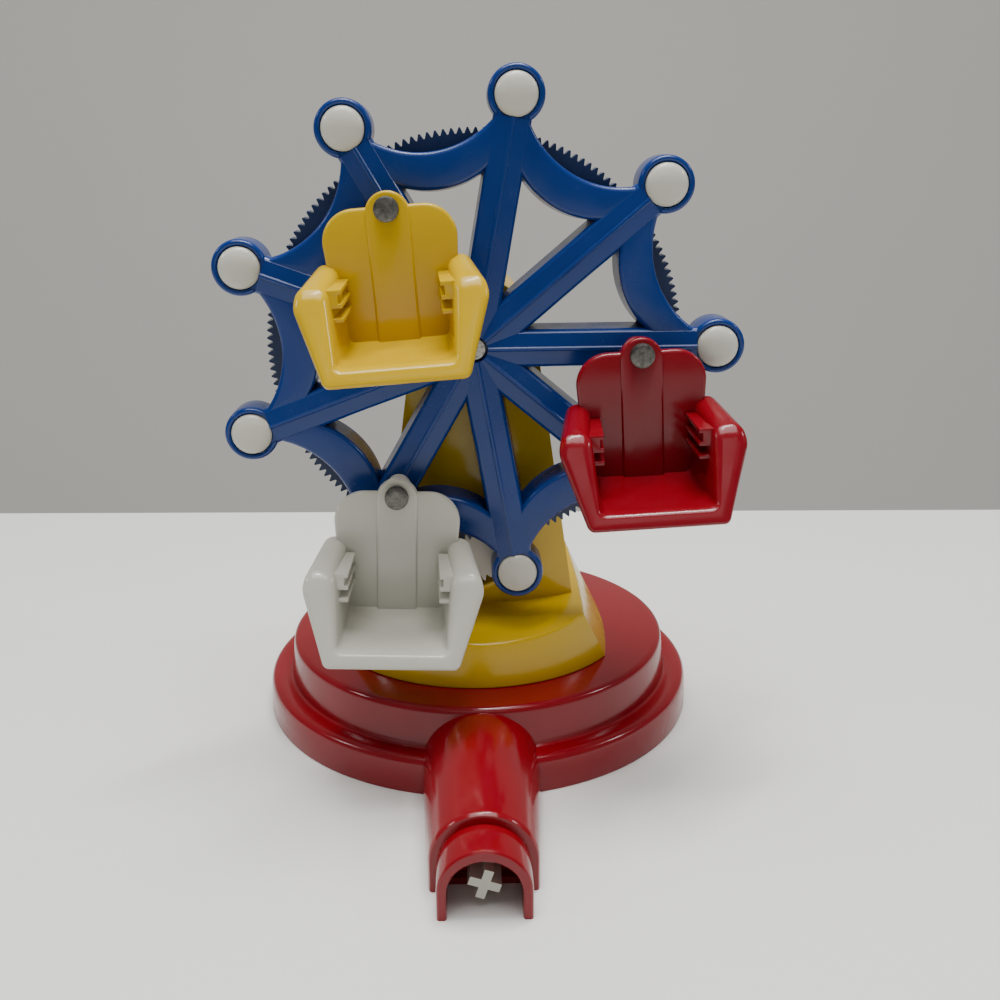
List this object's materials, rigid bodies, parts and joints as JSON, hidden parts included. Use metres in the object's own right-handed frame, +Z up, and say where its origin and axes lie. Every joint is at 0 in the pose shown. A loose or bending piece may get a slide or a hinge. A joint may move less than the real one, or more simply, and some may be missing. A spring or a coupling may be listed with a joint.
{
  "type": "crank ferris wheel toy",
  "caption": "Toy Ferris wheel with hanging bucket seats on a spoked, scalloped wheel; a ring gear and gear train drive it from a cross-ended shaft in the base.",
  "frame": {"origin": "on the base's axis, on the surface that the toy stands on", "axes": "+Z up, -Y towards the drive end and the seats, +X to the right seen from the front"},
  "size_m": [0.1263, 0.1656, 0.1702],
  "materials": {
    "red_moulding": "glossy moulded plastic",
    "seat_red_moulding": "glossy moulded plastic",
    "yellow_moulding": "glossy moulded plastic",
    "blue_moulding": "glossy moulded plastic",
    "dark_blue_moulding": "satin moulded plastic",
    "white_moulding": "glossy moulded plastic",
    "rivet_steel": "dull, slightly rough",
    "screw_steel": "zinc plated",
    "axle_steel": "drawn wire, smooth"
  },
  "bodies": {
    "base": {"base_shell": "red_moulding", "bottom_cover": "red_moulding", "cover_screws": "screw_steel", "foot_screws": "screw_steel", "tower_front": "yellow_moulding", "tower_rear": "yellow_moulding", "tower_screws": "screw_steel", "wheel_axle": "axle_steel", "axle_washer": "axle_steel", "idler_pin": "axle_steel"},
    "wheel": {"wheel_web": "blue_moulding", "ring_gear": "dark_blue_moulding", "rim_cap_1": "white_moulding", "rim_cap_2": "white_moulding", "rim_cap_3": "white_moulding", "rim_cap_4": "white_moulding", "rim_cap_5": "white_moulding", "rim_cap_6": "white_moulding", "rim_cap_7": "white_moulding", "rim_cap_8": "white_moulding", "rim_cap_9": "white_moulding"},
    "pinion": {"wheel_pinion": "white_moulding", "transfer_gear": "white_moulding"},
    "idler": {"idler_gear": "white_moulding"},
    "drive": {"drive_shaft": "white_moulding"},
    "rivet_yellow": {"seat_rivet_yellow": "rivet_steel"},
    "seat_yellow": {"seat_yellow": "yellow_moulding"},
    "rivet_white": {"seat_rivet_white": "rivet_steel"},
    "seat_white": {"seat_white": "white_moulding"},
    "rivet_red": {"seat_rivet_red": "rivet_steel"},
    "seat_red": {"seat_red": "seat_red_moulding"}
  },
  "joints": [
    {"name": "wheel_spin", "type": "hinge", "parent": "base", "child": "wheel", "pos_m": [0, -0.032, 0.10615], "axis": [0, 1, 0], "continuous": true},
    {"name": "pinion_spin", "type": "hinge", "parent": "base", "child": "pinion", "pos_m": [0, -0.0236, 0.0497], "axis": [0, 1, 0], "continuous": true},
    {"name": "idler_spin", "type": "hinge", "parent": "base", "child": "idler", "pos_m": [0, -0.012, 0.02685], "axis": [0, 1, 0], "continuous": true},
    {"name": "drive_spin", "type": "hinge", "parent": "base", "child": "drive", "pos_m": [0, -0.1, 0.006], "axis": [0, 1, 0], "continuous": true},
    {"name": "rivet_yellow_turn", "type": "hinge", "parent": "wheel", "child": "rivet_yellow", "pos_m": [-0.0192, -0.032, 0.13941], "axis": [0, 1, 0], "continuous": true},
    {"name": "seat_yellow_swing", "type": "hinge", "parent": "rivet_yellow", "child": "seat_yellow", "pos_m": [-0.0192, -0.042, 0.13941], "axis": [0, 1, 0], "range_deg": [-20, 20]},
    {"name": "rivet_white_turn", "type": "hinge", "parent": "wheel", "child": "rivet_white", "pos_m": [-0.0192, -0.032, 0.0729], "axis": [0, 1, 0], "continuous": true},
    {"name": "seat_white_swing", "type": "hinge", "parent": "rivet_white", "child": "seat_white", "pos_m": [-0.0192, -0.042, 0.0729], "axis": [0, 1, 0], "range_deg": [-20, 20]},
    {"name": "rivet_red_turn", "type": "hinge", "parent": "wheel", "child": "rivet_red", "pos_m": [0.0384, -0.032, 0.10615], "axis": [0, 1, 0], "continuous": true},
    {"name": "seat_red_swing", "type": "hinge", "parent": "rivet_red", "child": "seat_red", "pos_m": [0.0384, -0.042, 0.10615], "axis": [0, 1, 0], "range_deg": [-20, 20]}
  ],
  "couplings": [
    {"joint": "pinion_spin", "follows": "wheel_spin", "ratio": -7.9524},
    {"joint": "idler_spin", "follows": "wheel_spin", "ratio": 2.3496},
    {"joint": "drive_spin", "follows": "wheel_spin", "ratio": -12.923},
    {"joint": "rivet_yellow_turn", "follows": "wheel_spin", "ratio": -1},
    {"joint": "rivet_white_turn", "follows": "wheel_spin", "ratio": -1},
    {"joint": "rivet_red_turn", "follows": "wheel_spin", "ratio": -1}
  ]
}
